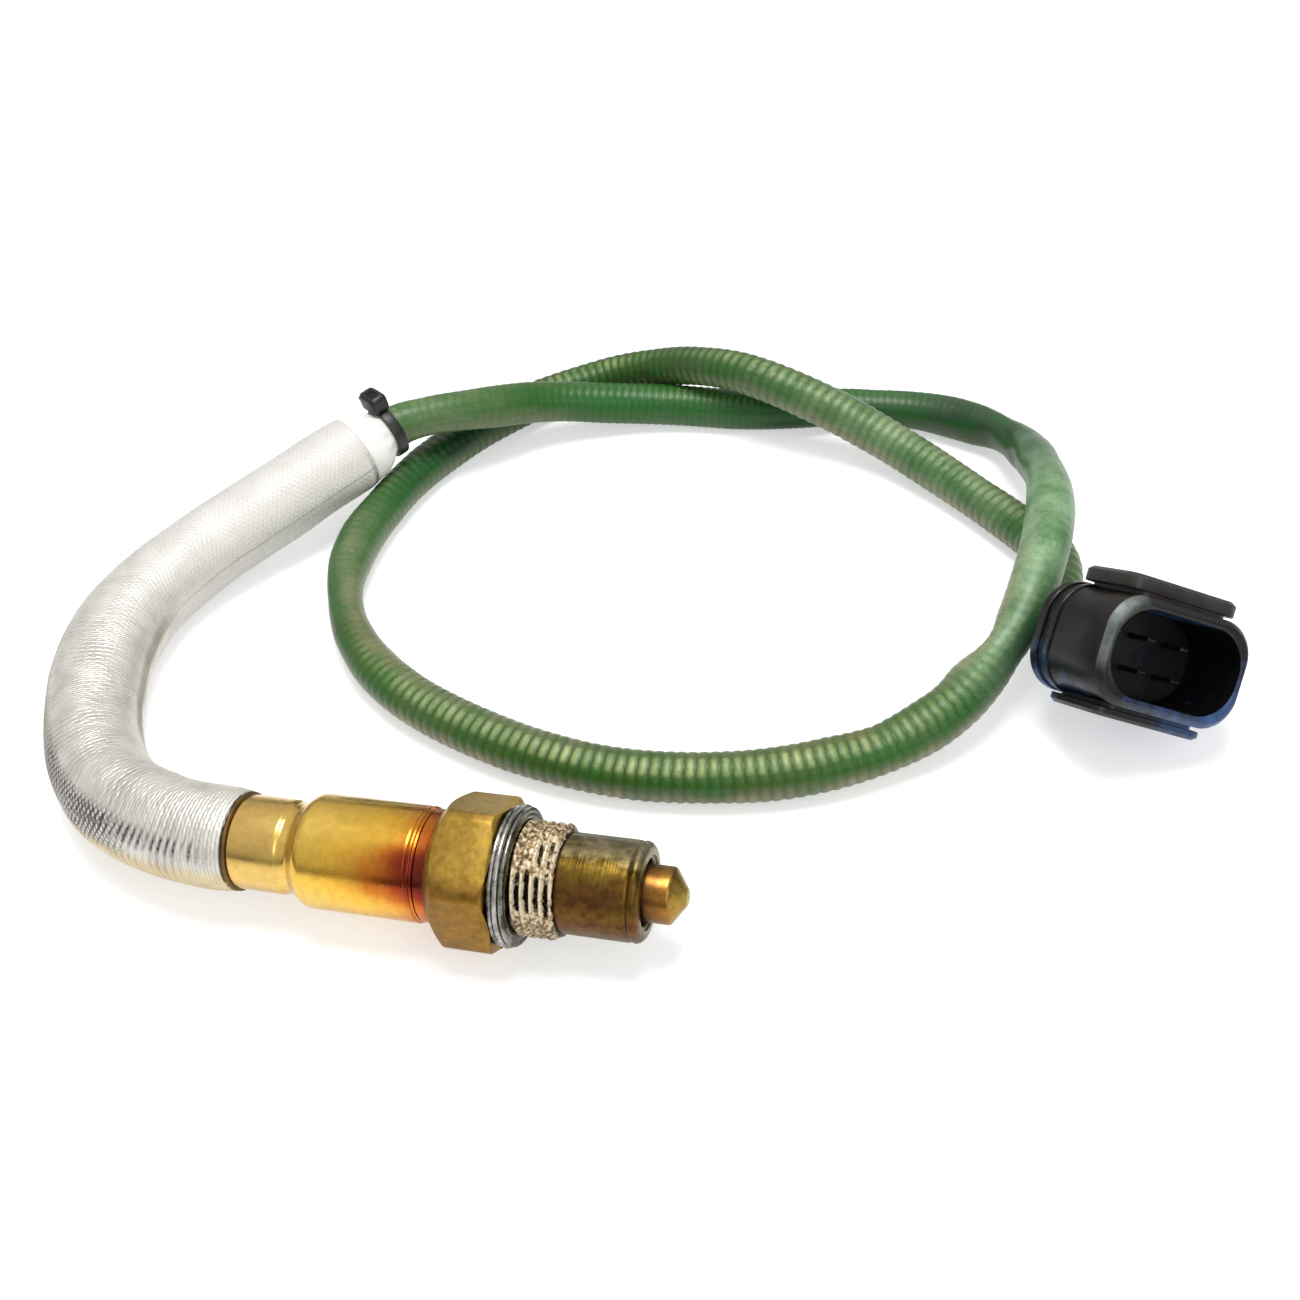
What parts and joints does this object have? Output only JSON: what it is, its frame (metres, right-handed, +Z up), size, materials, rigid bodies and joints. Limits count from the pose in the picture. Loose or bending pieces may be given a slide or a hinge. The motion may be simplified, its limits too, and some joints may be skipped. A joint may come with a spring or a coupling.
{
  "type": "oxygen sensor",
  "caption": "Exhaust oxygen sensor: threaded hexagon body with a shielded tip, silver heat sleeve, green corrugated lead held by a tie, and a black socket connector, lying flat.",
  "frame": {"origin": "where the thread axis meets the face of the sealing ring that seats on the exhaust boss", "axes": "+X along the thread axis, out through the sensor tip; +Z up from the table it lies on"},
  "size_m": [0.2176, 0.1759, 0.0331],
  "materials": {
    "passivated_steel": "brassy passivated, satin, heat stained",
    "ring_steel": "bare, smooth",
    "tube_steel": "heat tinted brown and olive",
    "tip_steel": "heat tinted gold",
    "ceramic": "fired, matt",
    "talc": "pressed powder",
    "contact_metal": "stamped, bare",
    "sleeve_steel": "gold heat tint, purple towards the hexagon",
    "grommet_rubber": "moulded, matt",
    "wire_cover": "smooth",
    "collar_steel": "dark heat tint",
    "woven_foil": "aluminised weave, finely wrinkled",
    "end_band": "white, satin",
    "tie_plastic": "black, satin",
    "green_sleeve": "green, finely ribbed, worn smooth in places",
    "black_plastic": "black, satin moulding"
  },
  "bodies": {
    "root": {"hex_housing": "passivated_steel", "sealing_ring": "ring_steel", "outer_protection_tube": "tube_steel", "inner_protection_tube": "tip_steel", "sensor_element": "ceramic", "lower_ceramic_bushing": "ceramic", "powder_seal": "talc", "upper_ceramic_bushing": "ceramic", "press_ring": "ring_steel", "contact_holder": "ceramic", "element_contacts": "contact_metal", "holder_spring": "ring_steel", "rear_sleeve": "sleeve_steel", "cable_grommet": "grommet_rubber", "sensor_wires": "wire_cover", "crimp_collar": "collar_steel", "heat_sleeve": "woven_foil", "sleeve_end_band": "end_band", "cable_tie": "tie_plastic", "cable_sleeve": "green_sleeve", "connector_housing": "black_plastic", "connector_pins": "contact_metal", "pin_carrier": "black_plastic", "wire_seal": "grommet_rubber", "rear_cap": "black_plastic", "sleeve_adapter": "grommet_rubber", "connector_wires": "wire_cover"}
  },
  "joints": []
}
